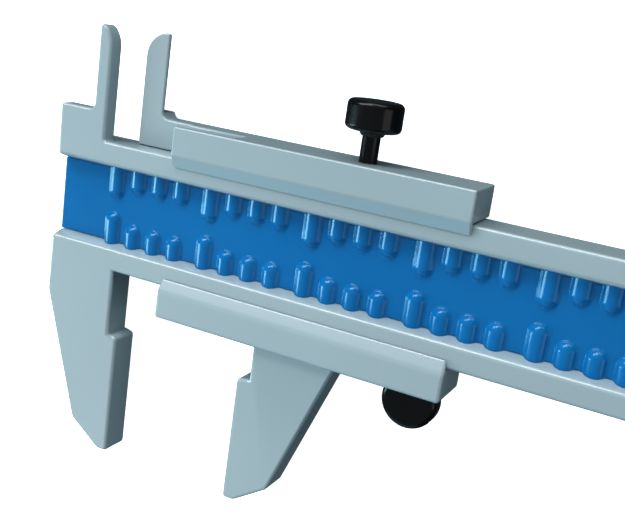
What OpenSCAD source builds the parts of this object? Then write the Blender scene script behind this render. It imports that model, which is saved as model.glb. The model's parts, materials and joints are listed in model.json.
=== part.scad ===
// Vernier caliper: a channel-section beam with two fixed jaws and a recessed scale plate, and a
// slider with two moving jaws, a lock screw, a friction thumb wheel and a depth rod.
// Millimetres. The caliper lies on its back: +X runs along the beam, +Y points from the outside
// jaws to the inside jaws, and +Z is the front. The origin is the centre of the fixed outside
// jaw's measuring face.

/* [Beam] */
// Height of the beam across its two rails
beam_h = 23.4; // [20:0.1:28]
// Thickness of the beam
beam_t = 8.4; // [7.9:0.1:10]
// Height of each rail
rail_w = 4; // [3.2:0.1:4.8]
// Depth of the scale plate behind the front of the rails
panel_recess = 2.5; // [2:0.1:2.7]
// Slope of the rails' inner walls, from the front of the rails to the scale plate
wall_slope = 0.8; // [0.4:0.1:1.2]
// Length of the beam to the left of the fixed measuring face
beam_left = 16.6; // [14:0.1:19]
// Largest outside size that the caliper measures
measuring_range = 150; // [120:1:200]
// Thickness of the end plate that stops the slider
end_plate_t = 3; // [2.5:0.1:4]

/* [Scale plate] */
// Thickness of the scale plate
plate_t = 1.5; // [1.4:0.1:1.7]
// Distance between long marks
major_pitch = 20; // [18.5:0.1:24]
// Distance between marks within a group of the upper row
upper_minor_pitch = 4.6; // [4:0.05:5.2]
// Distance between marks within a group of the lower row
lower_minor_pitch = 4.55; // [4:0.05:5.2]
// Place of the upper row's first long mark, from the fixed measuring face
upper_first = -4.35; // [-12:0.05:0]
// Place of the lower row's first long mark, from the fixed measuring face
lower_first = -4.6; // [-12:0.05:0]
// Width of the raised marks
mark_w = 3.2; // [2.6:0.1:3.6]
// Height of the raised marks
mark_h = 1; // [0.7:0.1:1.2]
// Length of the upper row's long marks
upper_long = 6.4; // [5.4:0.1:7]
// Length of the upper row's short marks
upper_short = 4.8; // [4:0.1:5.3]
// Length of the lower row's long marks
lower_long = 6.4; // [5.4:0.1:7]
// Length of the lower row's short marks
lower_short = 4.8; // [4:0.1:5.3]

/* [Outside jaws] */
// Reach of the outside jaws below the beam
jaw_reach = 35.5; // [31:0.1:43]
// Thickness of the outside jaws
jaw_t = 6; // [5:0.1:6.2]
// Height of the measuring faces
face_h = 23; // [19:0.1:25]
// Undercut above the fixed measuring face
fixed_relief = 2; // [1.5:0.1:2.4]
// Undercut above the moving measuring face
moving_relief = 2.4; // [2:0.1:3]

/* [Inside jaws] */
// Reach of the inside jaws above the beam
inner_reach = 20.3; // [17:0.1:24.4]
// Thickness of the fixed inside jaw
fixed_blade_t = 3.3; // [2.7:0.1:3.4]
// Width of the fixed inside jaw
fixed_blade_w = 2.7; // [2.2:0.05:3]
// Distance of the fixed inside jaw's measuring edge from the fixed measuring face
fixed_blade_edge = 9.2; // [8.5:0.1:9.6]
// Thickness of the moving inside jaw
moving_blade_t = 4.3; // [3.6:0.1:4.6]
// Width of the moving inside jaw
moving_blade_w = 4.6; // [3.9:0.1:5.5]
// Width of the flat left along the moving inside jaw's ground edge
moving_blade_land = 0.8; // [0.6:0.1:1]
// Distance of the moving inside jaw's measuring edge from the moving measuring face
moving_blade_edge = 23.7; // [22.5:0.1:26]

/* [Slider] */
// Opening of the outside jaws as the caliper lies
opening = 26.3; // [0:0.1:60]
// Length of the slider's blocks
slider_l = 54.2; // [53.8:0.1:65]
// Length of the slider to the left of the moving measuring face
slider_lead = 17.4; // [14.5:0.1:18]
// Height of the slider's blocks beyond the beam's edges
block_h = 5.5; // [5.3:0.1:6.6]
// Thickness of the lips in front of the beam
lip_t = 1.45; // [1.2:0.05:1.8]
// Width of the rail that each lip covers
lip_cover = 1.85; // [1.5:0.05:2.3]
// Height of the slope along each lip's free edge
lip_slope = 2.35; // [2:0.05:2.8]
// Thickness of the back plate
back_plate_t = 1.8; // [1.6:0.1:2.2]

/* [Lock screw] */
// Place of the lock screw, to the right of the moving measuring face
lock_x = 16.9; // [14:0.1:20]
// Depth of the lock screw's axis behind the front of the beam
lock_depth = 3.4; // [3.2:0.1:3.8]
// Diameter of the lock stud
stud_d = 3; // [2.5:0.1:3.2]
// Length of bare stud between the slider and the knob
stud_bare = 5.1; // [4.3:0.1:6.1]
// Diameter of the knob
knob_d = 9.2; // [7.7:0.1:11]
// Height of the knob
knob_h = 4.8; // [4.2:0.1:5.8]
// Gap between the clamp pad and the beam when the screw is slack
pad_gap = 0.36; // [0.3:0.02:0.44]

/* [Thumb wheel] */
// Place of the thumb wheel, to the right of the moving measuring face
wheel_x = 30.8; // [30.4:0.1:31.2]
// Diameter of the thumb wheel
wheel_d = 9.6; // [8:0.1:9.8]
// Thickness of the thumb wheel
wheel_t = 4.4; // [3.7:0.1:4.6]
// Diameter of the idler roller between the thumb wheel and the beam
idler_d = 3; // [2.6:0.1:3.4]
// Diameter of the thumb wheel's axle
axle_d = 2; // [1.7:0.1:2.4]
// Diameter of the idler's pin
idler_pin_d = 1; // [0.8:0.1:1.2]

/* [Depth rod] */
// Width of the depth rod
rod_w = 4.4; // [3.7:0.1:5.2]
// Thickness of the depth rod
rod_t = 1.4; // [1.2:0.1:1.6]
// Depth of the groove in the back of the beam
groove_depth = 2; // [1.8:0.1:2.2]

/* [Fits] */
// Gap between the slider and the faces that it slides on
slide_gap = 0.1; // [0.06:0.02:0.14]
// Radial gap of a shaft that turns in its bore
run_gap = 0.05; // [0.03:0.01:0.08]
// Gap between a fixed piece and its seat
seat_gap = 0.02; // [0.01:0.01:0.04]
// Gap between the rollers and what they roll on
roll_gap = 0.03; // [0.02:0.01:0.05]
// Gap around pieces that pass or turn near each other
pass_gap = 0.3; // [0.2:0.05:0.35]

/* [Hidden] */

$fn = 96;
paint = [0.63, 0.71, 0.75];
blue = [0.04, 0.42, 0.68];
black = [0.03, 0.03, 0.03];
steel = [0.72, 0.73, 0.75];
brass = [0.78, 0.62, 0.32];
bronze = [0.66, 0.48, 0.30];

// A cut runs this far past the faces that it opens through.
through = 1;

// Beam, measured from the fixed measuring face, the beam's centre line and its back
half_h = beam_h / 2;
channel_h = half_h - rail_w;
plate_h = channel_h - wall_slope;
web_t = beam_t - panel_recess - plate_t;
end_gap = 0.5;
beam_right = measuring_range + slider_l - slider_lead + end_gap;
end_x = beam_right + end_plate_t;
back_z = -slide_gap - back_plate_t;
end_plate_over = 1.8;
end_screw_d = 2;
end_screw_head_d = 3.6;
end_screw_head_h = 1.2;
end_screw_l = 9;
groove_start = -8;

// Marks of the scale
marks_per_group = 4;
mark_groups = ceil((beam_right - min(upper_first, lower_first)) / major_pitch);
mark_end_margin = 4;
mark_curve_r = (mark_w * mark_w / 4 + mark_h * mark_h) / (2 * mark_h);

// Outside jaws. The heel and the toe are the corners of their outlines.
tip_y = -half_h - jaw_reach;
face_mid_y = tip_y + face_h / 2;
face_mid_z = beam_t - jaw_t / 2;
relief_step = 0.5;
shoulder_drop = 6.9;
fixed_heel = [-8.6, 4.5];
fixed_tip_w = 2.2;
moving_toe = [8.5, 4.3];
moving_tip_w = 2.2;
moving_root_w = 18;

// Inside jaws. The curve is the arc that narrows each blade to its tip.
inner_tip_y = half_h + inner_reach;
raised_h = block_h - slide_gap;
fixed_curve_r = 4.8;
fixed_curve_h = 3.7;
moving_curve_r = 4.35;
moving_curve_h = 4.3;
blade_fillet = 1.1;
blade_join = 0.1;
root_fillet = 0.5;

// Slider, measured from the moving measuring face
slider_left = -slider_lead;
slider_right = slider_l - slider_lead;
block_y = half_h + block_h;
upper_slot_end = fixed_blade_w - fixed_blade_edge + pass_gap;
lower_slot_end = pass_gap - fixed_relief;
plate_inset = 1;
plate_inset_y = 0.5;
plate_x = [slider_left + plate_inset, slider_right - plate_inset];
plate_y = block_y - plate_inset_y;
plate_screw_out = 3;
plate_screw_y = half_h + plate_screw_out;
plate_screw_d = 1.6;
plate_screw_head_d = 3.2;
plate_screw_head_h = 1;
plate_screw_l = 4.6;
plate_screws = [[4, plate_screw_y], [30, plate_screw_y], [3.2, -plate_screw_y], [22, -plate_screw_y]];
driver_slot_w = 0.6;
driver_slot_h = 0.4;

// Gib strip, its springs and the wear strip
gib_t = 1;
gib_w = 5.6;
gib_room = 0.7;
gib_margin = 1.6;
gib_x = [upper_slot_end + gib_margin, slider_right - gib_margin];
gib_y = half_h + slide_gap / 2;
gib_roof = gib_y + gib_t + gib_room;
spring_t = 0.25;
spring_l = 12;
spring_rise = gib_room - spring_t;
spring_r = (spring_l * spring_l / 4 + spring_rise * spring_rise) / (2 * spring_rise);
wear_t = 1.2;
wear_x = [lower_slot_end + gib_margin, wheel_x - wheel_d / 2 - 2 * gib_margin];

// Lock screw
lock_z = beam_t - lock_depth;
stud_r = stud_d / 2;
pad_r = stud_r + 0.1;
pad_h = 1.8;
pad_lift = 1.1;
pad_y = half_h + pad_gap;
pad_roof = pad_y + pad_h + pad_lift;
bush_r = stud_r + 0.9;
bush_cover = 0.8;
bush_top = block_y - bush_cover;
knob_y = block_y + stud_bare;
knob_edge = 0.9;
knob_neck_r = stud_r + 0.3;
knob_collar_r = 2.3;
knob_collar_h = 0.8;
knob_bore_h = 3.4;

// Thumb wheel and idler
wheel_r = wheel_d / 2;
idler_r = idler_d / 2;
axle_r = axle_d / 2;
idler_y = -half_h - roll_gap - idler_r;
wheel_y = idler_y - idler_r - roll_gap - wheel_r;
lug_t = 2.3;
wheel_z = lug_t + pass_gap - slide_gap;
wheel_edge = 1.3;
wheel_bush_r = axle_r + 0.8;
wheel_cap_t = 0.9;
wheel_bore_h = wheel_t - wheel_cap_t;
lug_r = 3.2;
idler_pin_end = wheel_z + wheel_t + 1.4;

// Depth rod
groove_w = rod_w + 0.6;
rod_z = groove_depth - pass_gap - rod_t;
rod_head_x = [-6, 4];
rivet_x = [-4, 2];
rivet_d = 1.6;
rod_tip_l = 4;
rod_tip_w = 1.6;

// Moves a piece of the beam from the beam's own axes to the caliper's origin.
module on_beam() {
    translate([0, -face_mid_y, -face_mid_z]) children();
}

// Moves a piece of the slider to its place along the beam.
module on_slider() {
    on_beam() translate([opening, 0, 0]) children();
}

// A box between two corners.
module span(low, high) {
    translate(low) cube(high - low);
}

// A section drawn in Y and Z, run along X.
module along_x(x) {
    translate([x[0], 0, 0]) rotate([90, 0, 90]) linear_extrude(x[1] - x[0]) children();
}

// A shape on the Z axis turned to stand along +Y.
module along_y(x, y, z) {
    translate([x, y, z]) rotate([-90, 0, 0]) children();
}

// The web of a concave corner that opens towards +X and +Y.
module corner_fillet(r) {
    difference() {
        square(r);
        translate([r, r]) circle(r);
    }
}

// A disc with rounded edges, standing on Z = 0.
module round_disc(r, t, edge) {
    rotate_extrude() {
        translate([0, edge]) square([r, t - 2 * edge]);
        square([r - edge, t]);
        translate([r - edge, edge]) circle(edge);
        translate([r - edge, t - edge]) circle(edge);
    }
}

// A blade of width w, its foot at the origin, narrowed to its tip by an arc on its right side.
module blade_outline(w, h, curve_r, curve_h) {
    intersection() {
        square([w, h]);
        union() {
            square([w, h - curve_h]);
            translate([w - curve_r, h - curve_h]) circle(curve_r);
        }
    }
}

// A slotted screw with its head's top at Z = 0, pointing to -Z.
module slotted_screw(d, length, head_d, head_h) {
    difference() {
        union() {
            translate([0, 0, -head_h]) cylinder(d = head_d, h = head_h);
            translate([0, 0, -length]) cylinder(d = d, h = length - head_h / 2);
        }
        span([-head_d, -driver_slot_w / 2, -driver_slot_h], [head_d, driver_slot_w / 2, through]);
    }
}

// The room that such a screw takes, with its gaps.
module screw_room(d, length, head_d, head_h) {
    translate([0, 0, -head_h]) cylinder(d = head_d + 2 * run_gap, h = head_h + through);
    translate([0, 0, -length - pass_gap]) cylinder(d = d + 2 * run_gap, h = length + pass_gap);
}

module place_end_screws() {
    for (side = [-1, 1])
        translate([end_x, side * (half_h - rail_w / 2), beam_t / 2]) rotate([0, 90, 0]) children();
}

module place_plate_screws() {
    for (place = plate_screws)
        translate([place[0], place[1], back_z]) rotate([180, 0, 0]) children();
}

// Section in Y and Z of the channel between the rails, drawn smaller by a gap on each side.
module channel_section(gap) {
    polygon([
        [gap - plate_h, web_t],
        [plate_h - gap, web_t],
        [plate_h - gap, web_t + plate_t],
        [channel_h - gap, beam_t],
        [channel_h - gap, beam_t + through],
        [gap - channel_h, beam_t + through],
        [gap - channel_h, beam_t],
        [gap - plate_h, web_t + plate_t]
    ]);
}

module beam_section() {
    difference() {
        translate([-half_h, 0]) square([beam_h, beam_t]);
        channel_section(0);
    }
}

module fixed_jaw_outline() {
    polygon([
        [-beam_left, -half_h],
        [-beam_left, -half_h - shoulder_drop],
        [fixed_heel[0], tip_y + fixed_heel[1]],
        [-fixed_tip_w, tip_y],
        [0, tip_y],
        [0, tip_y + face_h],
        [-fixed_relief, tip_y + face_h + relief_step],
        [-fixed_relief, -half_h]
    ]);
}

module fixed_blade_outline() {
    translate([-fixed_blade_edge, half_h])
        blade_outline(fixed_blade_w, inner_reach, fixed_curve_r, fixed_curve_h);
    translate([-beam_left, half_h]) square([beam_left - fixed_blade_edge + blade_join, raised_h]);
    translate([-fixed_blade_edge, half_h + raised_h]) mirror([1, 0]) corner_fillet(blade_fillet);
    translate([fixed_blade_w - fixed_blade_edge, half_h]) corner_fillet(root_fillet);
}

module beam_frame() {
    color(paint) on_beam() difference() {
        union() {
            along_x([-beam_left, beam_right]) beam_section();
            translate([0, 0, beam_t - jaw_t]) linear_extrude(jaw_t) union() {
                fixed_jaw_outline();
                translate([-beam_left, -half_h]) square([beam_left - fixed_relief, rail_w]);
            }
            translate([0, 0, beam_t - fixed_blade_t]) linear_extrude(fixed_blade_t) union() {
                fixed_blade_outline();
                translate([-beam_left, half_h - rail_w])
                    square([beam_left - fixed_blade_edge + fixed_blade_w, rail_w]);
            }
        }
        span([groove_start, -groove_w / 2, -through],
             [beam_right + through, groove_w / 2, groove_depth]);
        place_end_screws()
            screw_room(end_screw_d, end_screw_l, end_screw_head_d, end_screw_head_h);
    }
}

// A low mark, an arc in section with a domed end, from the channel's wall towards the centre line.
module mark(x, length, way) {
    translate([x, -way * channel_h, web_t + plate_t + mark_h - mark_curve_r]) {
        rotate([-90 * way, 0, 0]) cylinder(r = mark_curve_r, h = length - mark_w / 2);
        translate([0, way * (length - mark_w / 2), 0]) sphere(mark_curve_r);
    }
}

module mark_row(first, minor_pitch, long, short, way) {
    for (group = [0 : mark_groups - 1], step = [0 : marks_per_group - 1]) {
        x = first + group * major_pitch + step * minor_pitch;
        if (x < beam_right - mark_end_margin)
            mark(x, step == 0 ? long : short, way);
    }
}

module scale_plate() {
    color(blue) on_beam() intersection() {
        union() {
            span([-beam_left, -channel_h, web_t], [beam_right, channel_h, web_t + plate_t]);
            mark_row(upper_first, upper_minor_pitch, upper_long, upper_short, -1);
            mark_row(lower_first, lower_minor_pitch, lower_long, lower_short, 1);
        }
        along_x([-beam_left, beam_right]) channel_section(seat_gap);
    }
}

module end_plate() {
    color(paint) on_beam() difference() {
        span([beam_right, -half_h - end_plate_over, back_z],
             [end_x, half_h + end_plate_over, beam_t]);
        span([beam_right - through, -groove_w / 2, 0],
             [end_x + through, groove_w / 2, groove_depth]);
        place_end_screws()
            screw_room(end_screw_d, end_screw_l, end_screw_head_d, end_screw_head_h);
    }
}

module end_plate_screws() {
    color(steel) on_beam() place_end_screws()
        slotted_screw(end_screw_d, end_screw_l, end_screw_head_d, end_screw_head_h);
}

// Section of the upper block in Y and Z: it wraps the beam's edge from behind to its front lip.
module block_section() {
    polygon([
        [half_h + slide_gap, -slide_gap],
        [block_y, -slide_gap],
        [block_y, beam_t + lip_t],
        [half_h - lip_cover + lip_slope, beam_t + lip_t],
        [half_h - lip_cover, beam_t + slide_gap],
        [half_h + slide_gap, beam_t + slide_gap]
    ]);
}

// The moving inside jaw with the web that carries it, behind the fixed inside jaw.
module moving_blade_outline() {
    left = -moving_blade_edge - moving_blade_w;
    translate([-moving_blade_edge, half_h + slide_gap]) mirror([1, 0])
        blade_outline(moving_blade_w, inner_reach - slide_gap, moving_curve_r, moving_curve_h);
    translate([left, half_h + slide_gap])
        square([slider_left - left + pass_gap, block_h - slide_gap]);
    translate([-moving_blade_edge, block_y]) corner_fillet(blade_fillet);
}

// Ground bevel that narrows the moving inside jaw to its edge, on its back right side
module moving_blade_bevel() {
    front = moving_blade_t - slide_gap - moving_blade_land + through;
    back = -slide_gap - through;
    translate([through - moving_blade_edge, inner_tip_y + through, 0]) rotate([90, 0, 0])
        linear_extrude(inner_tip_y + through - block_y - blade_fillet)
            polygon([[0, front], [0, back], [back - front, back]]);
}

module upper_block() {
    color(paint) on_slider() difference() {
        union() {
            along_x([slider_left, slider_right]) block_section();
            translate([0, 0, -slide_gap]) linear_extrude(moving_blade_t) moving_blade_outline();
        }
        moving_blade_bevel();
        // Slot that takes the fixed inside jaw and the raised end of the beam
        span([slider_left - through, half_h - through, beam_t - fixed_blade_t - pass_gap],
             [upper_slot_end, block_y + through, beam_t + slide_gap]);
        // Pocket for the gib strip and its springs
        span([gib_x[0] - seat_gap, half_h - through, lock_z - gib_w / 2 - seat_gap],
             [gib_x[1] + seat_gap, gib_roof, lock_z + gib_w / 2 + seat_gap]);
        along_y(lock_x, half_h, lock_z) cylinder(r = bush_r + seat_gap, h = bush_top - half_h);
        along_y(lock_x, half_h, lock_z) cylinder(r = stud_r + run_gap, h = block_h + through);
        place_plate_screws()
            screw_room(plate_screw_d, plate_screw_l, plate_screw_head_d, plate_screw_head_h);
    }
}

module moving_jaw_outline() {
    polygon([
        [moving_relief, -block_y + through],
        [moving_relief, tip_y + face_h + relief_step],
        [0, tip_y + face_h],
        [0, tip_y],
        [moving_tip_w, tip_y],
        [moving_toe[0], tip_y + moving_toe[1]],
        [moving_root_w, -block_y],
        [moving_root_w, -block_y + through]
    ]);
}

module wheel_room() {
    translate([wheel_x, wheel_y, wheel_z - pass_gap])
        cylinder(r = wheel_r + pass_gap, h = wheel_t + 2 * pass_gap);
    translate([wheel_x, idler_y, wheel_z - pass_gap])
        cylinder(r = idler_r + pass_gap, h = wheel_t + 2 * pass_gap);
}

module lower_block() {
    color(paint) on_slider() difference() {
        union() {
            mirror([0, 1, 0]) along_x([slider_left, slider_right]) block_section();
            translate([0, 0, beam_t - jaw_t]) linear_extrude(jaw_t) moving_jaw_outline();
            // Lug behind the thumb wheel, which carries its axle
            translate([wheel_x, wheel_y, -slide_gap]) cylinder(r = lug_r, h = lug_t);
            span([wheel_x - lug_r, wheel_y, -slide_gap],
                 [wheel_x + lug_r, -half_h - block_h / 2, lug_t - slide_gap]);
        }
        // Slot that takes the root of the fixed outside jaw
        span([slider_left - through, -block_y - through, beam_t - jaw_t - pass_gap],
             [lower_slot_end, through - half_h, beam_t + slide_gap]);
        // Pocket for the wear strip
        span([wear_x[0] - seat_gap, -half_h - slide_gap / 2 - wear_t, lock_z - gib_w / 2 - seat_gap],
             [wear_x[1] + seat_gap, through - half_h, lock_z + gib_w / 2 + seat_gap]);
        wheel_room();
        translate([wheel_x, wheel_y, -through]) cylinder(r = axle_r + seat_gap, h = lug_t + through);
        translate([wheel_x, idler_y, -through])
            cylinder(r = idler_pin_d / 2 + seat_gap, h = idler_pin_end + through);
        place_plate_screws()
            screw_room(plate_screw_d, plate_screw_l, plate_screw_head_d, plate_screw_head_h);
    }
}

module back_plate() {
    color(paint) on_slider() difference() {
        span([plate_x[0], -plate_y, back_z], [plate_x[1], plate_y, -slide_gap]);
        place_plate_screws()
            screw_room(plate_screw_d, plate_screw_l, plate_screw_head_d, plate_screw_head_h);
        for (x = rivet_x)
            translate([x, 0, back_z - through]) cylinder(d = rivet_d + 2 * seat_gap, h = beam_t);
    }
}

module back_plate_screws() {
    color(steel) on_slider() place_plate_screws()
        slotted_screw(plate_screw_d, plate_screw_l, plate_screw_head_d, plate_screw_head_h);
}

module depth_rod() {
    color(steel) on_slider() difference() {
        union() {
            span([rod_head_x[0], -rod_w / 2, rod_z], [end_x, rod_w / 2, rod_z + rod_t]);
            span([rod_head_x[0], -rod_w / 2, -slide_gap], [rod_head_x[1], rod_w / 2, rod_z + rod_t]);
        }
        for (x = rivet_x)
            translate([x, 0, -through]) cylinder(d = rivet_d + 2 * seat_gap, h = beam_t);
        // Relief that leaves a narrow foot at the rod's tip
        span([end_x - rod_tip_l, rod_tip_w - rod_w / 2, -through],
             [end_x + through, rod_w, beam_t]);
    }
}

module depth_rod_rivets() {
    color(steel) on_slider() for (x = rivet_x)
        translate([x, 0, back_z]) cylinder(d = rivet_d, h = rod_z + rod_t - back_z);
}

module gib_strip() {
    color(bronze) on_slider() difference() {
        span([gib_x[0], gib_y, lock_z - gib_w / 2], [gib_x[1], gib_y + gib_t, lock_z + gib_w / 2]);
        along_y(lock_x, half_h, lock_z) cylinder(r = pad_r + pass_gap, h = block_h);
    }
}

// Outline of a leaf spring that bows up by spring_rise between its two ends.
module spring_outline() {
    intersection() {
        difference() {
            translate([0, spring_rise + spring_t - spring_r]) circle(spring_r, $fn = 720);
            translate([0, spring_rise - spring_r]) circle(spring_r, $fn = 720);
        }
        translate([-spring_l / 2, 0]) square([spring_l, 2 * gib_room]);
    }
}

module gib_springs() {
    places = [(gib_x[0] + lock_x) / 2, (gib_x[1] + lock_x) / 2];
    color(steel) on_slider() for (x = places)
        translate([x, gib_y + gib_t, lock_z - gib_w / 2 + pass_gap])
            linear_extrude(gib_w - 2 * pass_gap) spring_outline();
}

module wear_strip() {
    color(bronze) on_slider()
        span([wear_x[0], -half_h - slide_gap / 2 - wear_t, lock_z - gib_w / 2],
             [wear_x[1], -half_h - slide_gap / 2, lock_z + gib_w / 2]);
}

// Pressed in from the beam's side, under the shoulder that the block keeps round the stud
module lock_bush() {
    color(black) on_slider() along_y(lock_x, pad_roof, lock_z) difference() {
        cylinder(r = bush_r, h = bush_top - seat_gap - pad_roof);
        translate([0, 0, -through]) cylinder(r = stud_r + run_gap, h = block_h);
    }
}

module clamp_pad() {
    color(brass) on_slider() along_y(lock_x, pad_y, lock_z) cylinder(r = pad_r, h = pad_h);
}

module lock_stud() {
    color(black) on_slider() along_y(lock_x, pad_y + pad_h, lock_z)
        cylinder(r = stud_r, h = knob_y + knob_bore_h - pad_y - pad_h);
}

module lock_knob() {
    color(black) on_slider() along_y(lock_x, knob_y, lock_z) difference() {
        union() {
            round_disc(knob_d / 2, knob_h, knob_edge);
            translate([0, 0, -knob_collar_h])
                cylinder(r1 = knob_neck_r, r2 = knob_collar_r, h = knob_collar_h);
        }
        translate([0, 0, -knob_collar_h - through])
            cylinder(r = stud_r + seat_gap, h = knob_bore_h + knob_collar_h + through);
    }
}

module wheel_axle() {
    color(steel) on_slider() translate([wheel_x, wheel_y, -slide_gap])
        cylinder(r = axle_r, h = slide_gap + wheel_z + wheel_bore_h - pass_gap);
}

// The wheel's bore is blind, and the slot round the wheel keeps it on its axle.
module thumb_wheel() {
    color(black) on_slider() translate([wheel_x, wheel_y, wheel_z]) difference() {
        round_disc(wheel_r, wheel_t, wheel_edge);
        translate([0, 0, -through])
            cylinder(r = wheel_bush_r + seat_gap, h = wheel_bore_h + through);
    }
}

module wheel_bush() {
    color(brass) on_slider() translate([wheel_x, wheel_y, wheel_z]) difference() {
        cylinder(r = wheel_bush_r, h = wheel_bore_h - seat_gap);
        translate([0, 0, -through]) cylinder(r = axle_r + run_gap, h = wheel_t + through);
    }
}

module idler_pin() {
    color(steel) on_slider() translate([wheel_x, idler_y, -slide_gap])
        cylinder(d = idler_pin_d, h = idler_pin_end);
}

module idler_roller() {
    color(steel) on_slider() translate([wheel_x, idler_y, wheel_z]) difference() {
        cylinder(r = idler_r, h = wheel_t);
        translate([0, 0, -through]) cylinder(r = idler_pin_d / 2 + run_gap, h = wheel_t + 2 * through);
    }
}

beam_frame();
scale_plate();
end_plate();
end_plate_screws();
upper_block();
lower_block();
back_plate();
back_plate_screws();
depth_rod();
depth_rod_rivets();
gib_strip();
gib_springs();
wear_strip();
lock_bush();
clamp_pad();
lock_stud();
lock_knob();
wheel_axle();
thumb_wheel();
wheel_bush();
idler_pin();
idler_roller();
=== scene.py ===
"""Looks for the vernier caliper: rounded painted castings, a moulded blue scale, gloss black knobs
and steel and bronze fittings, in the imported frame. The caliper lies on its back, front face up."""

import json
import math

import bmesh
import bpy
from mathutils import Euler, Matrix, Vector


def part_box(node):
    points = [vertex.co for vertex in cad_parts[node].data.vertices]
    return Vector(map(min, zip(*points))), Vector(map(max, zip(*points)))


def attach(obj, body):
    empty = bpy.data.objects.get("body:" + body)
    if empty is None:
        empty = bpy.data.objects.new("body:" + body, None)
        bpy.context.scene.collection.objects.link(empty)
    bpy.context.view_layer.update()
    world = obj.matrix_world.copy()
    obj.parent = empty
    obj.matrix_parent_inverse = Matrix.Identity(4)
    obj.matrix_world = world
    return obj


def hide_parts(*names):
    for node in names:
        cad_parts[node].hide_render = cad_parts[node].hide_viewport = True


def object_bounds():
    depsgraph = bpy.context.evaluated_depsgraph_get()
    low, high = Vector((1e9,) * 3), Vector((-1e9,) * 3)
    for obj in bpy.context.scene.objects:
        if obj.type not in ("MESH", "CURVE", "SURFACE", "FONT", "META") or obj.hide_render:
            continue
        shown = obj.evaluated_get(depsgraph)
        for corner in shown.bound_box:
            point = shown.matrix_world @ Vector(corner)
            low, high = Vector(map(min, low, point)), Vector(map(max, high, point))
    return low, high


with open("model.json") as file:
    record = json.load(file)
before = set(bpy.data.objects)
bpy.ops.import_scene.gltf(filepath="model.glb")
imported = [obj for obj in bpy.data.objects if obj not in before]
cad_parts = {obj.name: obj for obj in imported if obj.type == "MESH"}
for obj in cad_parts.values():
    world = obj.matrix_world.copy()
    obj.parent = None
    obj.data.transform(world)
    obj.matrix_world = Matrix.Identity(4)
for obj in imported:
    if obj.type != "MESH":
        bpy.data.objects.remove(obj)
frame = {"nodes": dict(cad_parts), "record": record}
cad_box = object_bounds()
NODES = frame["nodes"]

MM = 0.001

# The photograph's view: where the camera stands and how it is turned
CAMERA_PLACE = Vector((101.4, 75.5, 143.7)) * MM
CAMERA_TURN = tuple(math.radians(a) for a in (-10.77, 26.18, 8.83))
CAMERA_LENS = 56.03
CAMERA_SENSOR = 36.0

# The marks of the scale, in millimetres from the fixed measuring face, as the CAD model has them
MARK_W = 3.2
MARK_H = 1.0
MAJOR_PITCH = 20.0
MARKS_PER_GROUP = 4
MARK_END_MARGIN = 4.0
WALL_SLOPE = 0.8
PANEL_RECESS = 2.5
UPPER_ROW = {"first": -4.35, "pitch": 4.6, "long": 6.4, "short": 4.8, "way": -1}
LOWER_ROW = {"first": -4.6, "pitch": 4.55, "long": 6.4, "short": 4.8, "way": 1}

# How a mark is moulded into the plate, in millimetres: its foot starts below the plate's top and
# flares out on a hollow curve, and the ridge's arc starts a little above the flare
FOOT_DEPTH = 0.2
FLARE_REACH = 0.25
FLARE_RADIUS = 0.4
FLARE_STEPS = 4
RIDGE_SHARE = 0.86
RIDGE_STEPS = 8
DOME_STEPS = 16
PANEL_EDGE = 0.3

# Radius of the rounded edges on each painted casting, in millimetres
EDGE_RADIUS = {"beam_frame": 0.6, "upper_block": 0.38, "lower_block": 0.6, "back_plate": 0.4,
               "end_plate": 0.5}
# Radius at the rims of small features, and the longest rim that counts as small
RIM_RADIUS = 0.12
SMALL_FEATURE = 6.5
# Radius of the edges on the ground and bronze strips
STRIP_RADIUS = {"depth_rod": 0.12, "gib_strip": 0.08, "wear_strip": 0.08}

# Vertices closer than this, in millimetres, are joined. Faces that meet at less than the flat angle
# become one, and faces that meet at more than the sharp angle have an edge.
WELD = 0.002
FLAT_ANGLE = math.radians(0.5)
SHARP_ANGLE = math.radians(25)

# Where the lights aim along the beam and how large the floor is, in metres, and the floor's gap
# under the caliper, in millimetres
AIM_X = 0.04
FLOOR_SIZE = 8
FLOOR_GAP = 0.02

# The lights, each with its direction and distance from the aim point, its width and height in
# metres, its power and its colour
WHITE = (1, 1, 1)
LIGHTS = {
    "key": ((-0.40, 0.80, 0.50), 1.0, (0.8, 0.3), 7.9, WHITE),
    "top_fill": ((0.10, 0.95, 0.15), 1.0, (0.9, 0.5), 5.5, WHITE),
    "left_strip": ((-0.92, -0.21, 0.33), 0.9, (0.15, 0.45), 2.4, (0.55, 0.95, 1.0)),
    "left_fill": ((-0.70, -0.50, 0.60), 0.3, (0.16, 0.16), 0.3, WHITE),
    "right_fill": ((0.95, -0.10, 0.25), 1.0, (0.6, 0.6), 1.2, WHITE),
    "blue_bounce": ((-0.30, -0.93, 0.22), 1.0, (0.9, 0.4), 1.5, (0.25, 0.7, 1.0)),
}


# ---------------------------------------------------------------- materials

def new_material(name, **values):
    """A node material whose Principled shader has the given socket values."""
    material = bpy.data.materials.new(name)
    material.use_nodes = True
    shader = material.node_tree.nodes["Principled BSDF"]
    for key, value in values.items():
        shader.inputs[key.replace("_", " ")].default_value = value
    return material, material.node_tree, shader


def place_coordinates(tree, stretch=(1, 1, 1)):
    """Object coordinates, stretched, so that a pattern stays with its piece as it moves."""
    place = tree.nodes.new("ShaderNodeTexCoord")
    mapping = tree.nodes.new("ShaderNodeMapping")
    mapping.inputs["Scale"].default_value = stretch
    tree.links.new(place.outputs["Object"], mapping.inputs["Vector"])
    return mapping.outputs["Vector"]


def noise(tree, vector, scale, detail=3.0):
    """A noise pattern with `scale` cells per metre."""
    node = tree.nodes.new("ShaderNodeTexNoise")
    node.inputs["Scale"].default_value = scale
    node.inputs["Detail"].default_value = detail
    tree.links.new(vector, node.inputs["Vector"])
    return node.outputs["Fac"]


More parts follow.
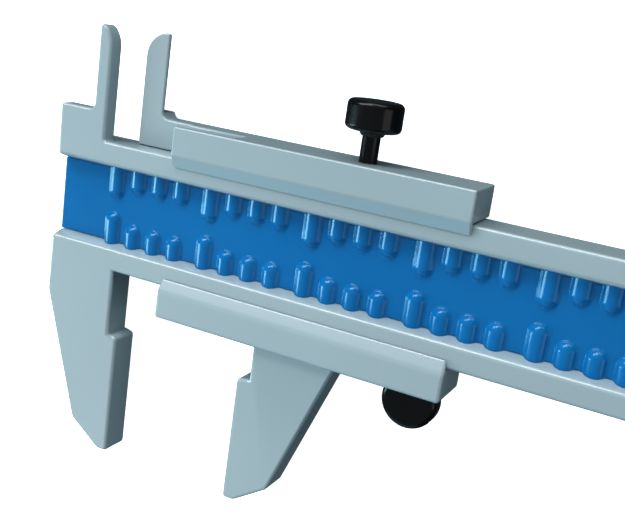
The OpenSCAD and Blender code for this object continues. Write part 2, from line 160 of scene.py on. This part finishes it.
def tint(tree, factor, low, high, socket):
    """Colour that varies between two tones with a pattern."""
    ramp = tree.nodes.new("ShaderNodeValToRGB")
    ramp.color_ramp.elements[0].position = 0.3
    ramp.color_ramp.elements[1].position = 0.7
    ramp.color_ramp.elements[0].color = (*low, 1)
    ramp.color_ramp.elements[1].color = (*high, 1)
    tree.links.new(factor, ramp.inputs["Fac"])
    tree.links.new(ramp.outputs["Color"], socket)


def vary(tree, factor, low, high, socket):
    """A value that varies between two limits with a pattern."""
    span = tree.nodes.new("ShaderNodeMapRange")
    span.inputs["From Min"].default_value = 0.3
    span.inputs["From Max"].default_value = 0.7
    span.inputs["To Min"].default_value = low
    span.inputs["To Max"].default_value = high
    tree.links.new(factor, span.inputs["Value"])
    tree.links.new(span.outputs["Result"], socket)


def bump(tree, shader, factor, depth, strength=1.0):
    """Surface relief `depth` metres deep from a pattern."""
    node = tree.nodes.new("ShaderNodeBump")
    node.inputs["Strength"].default_value = strength
    node.inputs["Distance"].default_value = depth
    tree.links.new(factor, node.inputs["Height"])
    tree.links.new(node.outputs["Normal"], shader.inputs["Normal"])


def enamel():
    """Grey-blue gloss enamel with a faint orange peel."""
    material, tree, shader = new_material(
        "grey_enamel", Metallic=0.0, Coat_Weight=0.7, Coat_Roughness=0.12, IOR=1.5)
    place = place_coordinates(tree)
    tint(tree, noise(tree, place, 28, 1.0), (0.297, 0.396, 0.436), (0.317, 0.421, 0.461),
         shader.inputs["Base Color"])
    vary(tree, noise(tree, place, 120, 2.0), 0.30, 0.35, shader.inputs["Roughness"])
    bump(tree, shader, noise(tree, place, 900, 1.0), 0.000006, 0.4)
    return material


def blue_moulding():
    """Deep blue gloss moulding."""
    material, tree, shader = new_material(
        "blue_moulding", Metallic=0.0, Coat_Weight=0.3, Coat_Roughness=0.03, IOR=1.33)
    shader.inputs["Specular Tint"].default_value = (0.35, 0.85, 1.0, 1)
    shader.inputs["Coat Tint"].default_value = (0.45, 0.9, 1.0, 1)
    place = place_coordinates(tree)
    tint(tree, noise(tree, place, 30), (0.002, 0.125, 0.36), (0.004, 0.15, 0.42),
         shader.inputs["Base Color"])
    vary(tree, noise(tree, place, 220), 0.16, 0.24, shader.inputs["Roughness"])
    bump(tree, shader, noise(tree, place, 700, 1.0), 0.00001, 0.4)
    return material


def black_gloss():
    """Black gloss plastic of the knob, the stem and the wheel."""
    material, tree, shader = new_material(
        "black_gloss", Metallic=0.0, Coat_Weight=0.2, Coat_Roughness=0.06, IOR=1.24)
    place = place_coordinates(tree)
    tint(tree, noise(tree, place, 200), (0.0015, 0.0015, 0.0017), (0.003, 0.003, 0.0034),
         shader.inputs["Base Color"])
    vary(tree, noise(tree, place, 500), 0.22, 0.34, shader.inputs["Roughness"])
    bump(tree, shader, noise(tree, place, 1800, 2.0), 0.000008, 0.4)
    return material


def brushed_metal(name, low, high, grain=(20, 1600, 1600)):
    """Metal with fine grinding lines along X."""
    material, tree, shader = new_material(name, Metallic=1.0)
    lines = noise(tree, place_coordinates(tree, grain), 1.0, 4.0)
    tint(tree, lines, low, high, shader.inputs["Base Color"])
    vary(tree, lines, 0.2, 0.38, shader.inputs["Roughness"])
    bump(tree, shader, lines, 0.000006, 0.5)
    return material


# ---------------------------------------------------------------- mesh work

def sharp_edges(bm):
    """Edges where two faces meet sharply, at a corner or in a hollow."""
    return [e for e in bm.edges if len(e.link_faces) == 2 and e.calc_face_angle(0) > SHARP_ANGLE]


def connected_groups(edges):
    """The edges, grouped by the vertices that they share."""
    left, groups = set(edges), []
    while left:
        stack, group = [left.pop()], []
        while stack:
            edge = stack.pop()
            group.append(edge)
            for vert in edge.verts:
                for other in vert.link_edges:
                    if other in left:
                        left.remove(other)
                        stack.append(other)
        groups.append(group)
    return groups


def group_size(group):
    """Longest side of the box round a group of edges."""
    points = [v.co for e in group for v in e.verts]
    return max(max(p[i] for p in points) - min(p[i] for p in points) for i in range(3))


def rounded_copy(node, radius):
    """A copy of a CAD node with its long edges rounded and the rims of its small holes broken."""
    bm = bmesh.new()
    bm.from_mesh(NODES[node].data)
    bmesh.ops.remove_doubles(bm, verts=bm.verts, dist=WELD * MM)
    bmesh.ops.dissolve_limit(bm, angle_limit=FLAT_ANGLE, verts=bm.verts, edges=bm.edges)
    groups = connected_groups(sharp_edges(bm))
    rims = [e for g in groups if group_size(g) < SMALL_FEATURE * MM for e in g]
    longs = [e for g in groups if group_size(g) >= SMALL_FEATURE * MM for e in g if e.is_convex]
    bmesh.ops.bevel(bm, geom=longs, offset=radius * MM, segments=4, profile=0.5,
                    affect="EDGES", clamp_overlap=False)
    rims = [e for e in rims if e.is_valid]
    bmesh.ops.bevel(bm, geom=rims, offset=RIM_RADIUS * MM, segments=2, profile=0.5,
                    affect="EDGES", clamp_overlap=False)
    return piece_from(bm, node + "_body")


def piece_from(bm, name):
    """A smooth-shaded object from a bmesh, with normals that keep its flats flat."""
    bmesh.ops.recalc_face_normals(bm, faces=bm.faces)
    mesh = bpy.data.meshes.new(name)
    for face in bm.faces:
        face.smooth = True
    bm.to_mesh(mesh)
    bm.free()
    piece = bpy.data.objects.new(name, mesh)
    bpy.context.scene.collection.objects.link(piece)
    flats = piece.modifiers.new("flats", "WEIGHTED_NORMAL")
    flats.keep_sharp = True
    return piece


def mark_profile():
    """Half section of a mark from its flared foot to its ridge: distance from its axis, height."""
    ridge_r = (MARK_W ** 2 / 4 + MARK_H ** 2) / (2 * MARK_H)
    edge_turn = math.asin(MARK_W / 2 / ridge_r)
    foot = MARK_W / 2 + FLARE_REACH
    points = [(foot, -FOOT_DEPTH)]
    for step in range(FLARE_STEPS + 1):
        turn = edge_turn * step / FLARE_STEPS
        points.append((foot - FLARE_RADIUS * math.sin(turn), FLARE_RADIUS * (1 - math.cos(turn))))
    for step in range(1, RIDGE_STEPS + 1):
        turn = edge_turn * RIDGE_SHARE * (1 - step / RIDGE_STEPS)
        points.append((ridge_r * math.sin(turn), MARK_H - ridge_r * (1 - math.cos(turn))))
    return points


def wall_shift(height):
    """How far the channel's sloped wall has moved outwards at a height above the plate."""
    return WALL_SLOPE * max(height, 0) / PANEL_RECESS


def add_mark(bm, x, root_y, top_z, length, way):
    """A low raised mark with a domed end, standing on the plate and running into the wall."""
    profile = mark_profile()
    end_y = root_y + way * (length - MARK_W / 2 - WALL_SLOPE)
    rows = [[(x + u, root_y - way * wall_shift(h), top_z + h) for u, h in profile]]
    for step in range(DOME_STEPS + 1):
        turn = math.pi * step / DOME_STEPS
        rows.append([(x + u * math.cos(turn), end_y + way * u * math.sin(turn), top_z + h)
                     for u, h in profile])
    rows.append([(x - u, root_y - way * wall_shift(h), top_z + h) for u, h in profile])
    rows = [[bm.verts.new(Vector(point) * MM) for point in row] for row in rows]
    for near, far in zip(rows, rows[1:]):
        for i in range(len(near) - 1):
            bm.faces.new((near[i], near[i + 1], far[i + 1], far[i]))
    for cap in ([row[0] for row in rows], rows[0] + rows[-1][::-1]):
        for edge in bm.faces.new(cap).edges:
            edge.smooth = False


def add_row(bm, row, root_y, top_z, limit_x):
    """A row of marks in groups of one long and three short."""
    group = 0
    while row["first"] + group * MAJOR_PITCH < limit_x:
        for step in range(MARKS_PER_GROUP):
            x = row["first"] + group * MAJOR_PITCH + step * row["pitch"]
            if x < limit_x:
                add_mark(bm, x, root_y, top_z, row["long"] if step == 0 else row["short"], row["way"])
        group += 1


def scale_panel():
    """The blue plate with its marks flared into it, as one moulding."""
    low, high = (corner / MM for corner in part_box("scale_plate"))
    top_z = high.z - MARK_H
    low.y += wall_shift(MARK_H)
    high.y -= wall_shift(MARK_H)
    bm = bmesh.new()
    corners = [Vector((x, y, z)) * MM for x in (low.x, high.x) for y in (low.y, high.y)
               for z in (low.z, top_z)]
    slab = [bm.verts.new(c) for c in corners]
    for face in ((0, 1, 3, 2), (4, 6, 7, 5), (0, 4, 5, 1), (2, 3, 7, 6), (1, 5, 7, 3), (0, 2, 6, 4)):
        bm.faces.new([slab[i] for i in face])
    bmesh.ops.bevel(bm, geom=list(bm.edges), offset=PANEL_EDGE * MM, segments=3, profile=0.5,
                    affect="EDGES")
    limit_x = high.x - MARK_END_MARGIN
    add_row(bm, UPPER_ROW, high.y, top_z, limit_x)
    add_row(bm, LOWER_ROW, low.y, top_z, limit_x)
    bmesh.ops.remove_doubles(bm, verts=bm.verts, dist=WELD / 2 * MM)
    return piece_from(bm, "scale_panel")


def soften_small(node, radius):
    """Bevels a small CAD fitting's edges with modifiers, which leave its mesh as it is."""
    obj = NODES[node]
    join = obj.modifiers.new("join", "WELD")
    join.merge_threshold = WELD * MM
    edge = obj.modifiers.new("edge", "BEVEL")
    edge.width = radius * MM
    edge.segments = 2
    edge.limit_method = "ANGLE"
    edge.angle_limit = math.radians(40)


# ---------------------------------------------------------------- the caliper

ENAMEL = enamel()
BLUE = blue_moulding()
BLACK = black_gloss()
STEEL = brushed_metal("ground_steel", (0.46, 0.47, 0.49), (0.62, 0.63, 0.65))
BRASS = brushed_metal("turned_brass", (0.58, 0.42, 0.17), (0.74, 0.56, 0.26))
BRONZE = brushed_metal("bronze", (0.42, 0.26, 0.12), (0.56, 0.37, 0.19))
SLOT_MATERIAL = {"painted_body": ENAMEL, "scale_blue": BLUE, "black": BLACK, "steel": STEEL,
                 "brass": BRASS, "bronze": BRONZE}


def body_of(node):
    """The CAD body that a node belongs to."""
    bodies = frame["record"]["behaviour"]["bodies"]
    return next(body for body, members in bodies.items() if node in members)


def finish_piece(piece, node, slot):
    """Gives a Blender piece its material and its body, and hides the CAD node that it stands for."""
    piece.data.materials.append(SLOT_MATERIAL[slot])
    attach(piece, body_of(node))
    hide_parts(node)


for casting, edge_radius in EDGE_RADIUS.items():
    finish_piece(rounded_copy(casting, edge_radius), casting, "painted_body")
finish_piece(scale_panel(), "scale_plate", "scale_blue")

for entry in frame["record"]["subparts"]:
    cad = NODES[entry["node"]]
    for slot_index in range(len(cad.material_slots)):
        cad.material_slots[slot_index].material = SLOT_MATERIAL[entry["material_slot"]]
for strip, strip_radius in STRIP_RADIUS.items():
    soften_small(strip, strip_radius)


# ---------------------------------------------------------------- stage

def area_light(name, direction, distance, size, power, colour, aim):
    """A rectangular soft light that faces the aim point from a direction."""
    data = bpy.data.lights.new(name, "AREA")
    data.shape = "RECTANGLE"
    data.size, data.size_y = size
    data.energy = power
    data.color = colour
    light = bpy.data.objects.new(name, data)
    bpy.context.scene.collection.objects.link(light)
    light.location = aim + Vector(direction).normalized() * distance
    light.rotation_euler = Vector(direction).to_track_quat("Z", "Y").to_euler()


def make_floor(z):
    """A plain pale floor under the caliper."""
    material, tree, shader = new_material("pale_floor", Roughness=0.9)
    shader.inputs["Base Color"].default_value = (0.9, 0.9, 0.9, 1)
    shader.inputs["Emission Color"].default_value = (1, 1, 1, 1)
    shader.inputs["Emission Strength"].default_value = 1.0
    bpy.ops.mesh.primitive_plane_add(size=FLOOR_SIZE, location=(0, 0, z))
    floor = bpy.context.object
    floor.name = "floor"
    floor.data.materials.append(material)
    floor.visible_diffuse = False
    floor.visible_glossy = False


def make_world():
    """Soft room light: pale above, darker below, and dimmer in reflections."""
    world = bpy.data.worlds.new("room")
    bpy.context.scene.world = world
    world.use_nodes = True
    tree = world.node_tree
    back = tree.nodes["Background"]
    place = tree.nodes.new("ShaderNodeTexCoord")
    split = tree.nodes.new("ShaderNodeSeparateXYZ")
    tree.links.new(place.outputs["Generated"], split.inputs["Vector"])
    tint(tree, split.outputs["Z"], (0.06, 0.105, 0.13), (0.60, 0.64, 0.66), back.inputs["Color"])
    path = tree.nodes.new("ShaderNodeLightPath")
    dim = tree.nodes.new("ShaderNodeMapRange")
    dim.inputs["To Min"].default_value = 0.8
    dim.inputs["To Max"].default_value = 0.4
    tree.links.new(path.outputs["Is Glossy Ray"], dim.inputs["Value"])
    tree.links.new(dim.outputs["Result"], back.inputs["Strength"])


aim = (cad_box[0] + cad_box[1]) / 2
aim.x = AIM_X
for light_name, light_values in LIGHTS.items():
    area_light(light_name, *light_values, aim)
bpy.data.objects["left_fill"].visible_glossy = False
make_world()
make_floor(cad_box[0].z - FLOOR_GAP * MM)

camera_data = bpy.data.cameras.new("camera")
camera_data.sensor_width = CAMERA_SENSOR
camera_data.lens = CAMERA_LENS
camera_data.clip_start = 0.005
camera = bpy.data.objects.new("camera", camera_data)
bpy.context.scene.collection.objects.link(camera)
camera.location = CAMERA_PLACE
camera.rotation_euler = Euler(CAMERA_TURN)
bpy.context.scene.camera = camera
bpy.context.scene.view_settings.view_transform = "Standard"
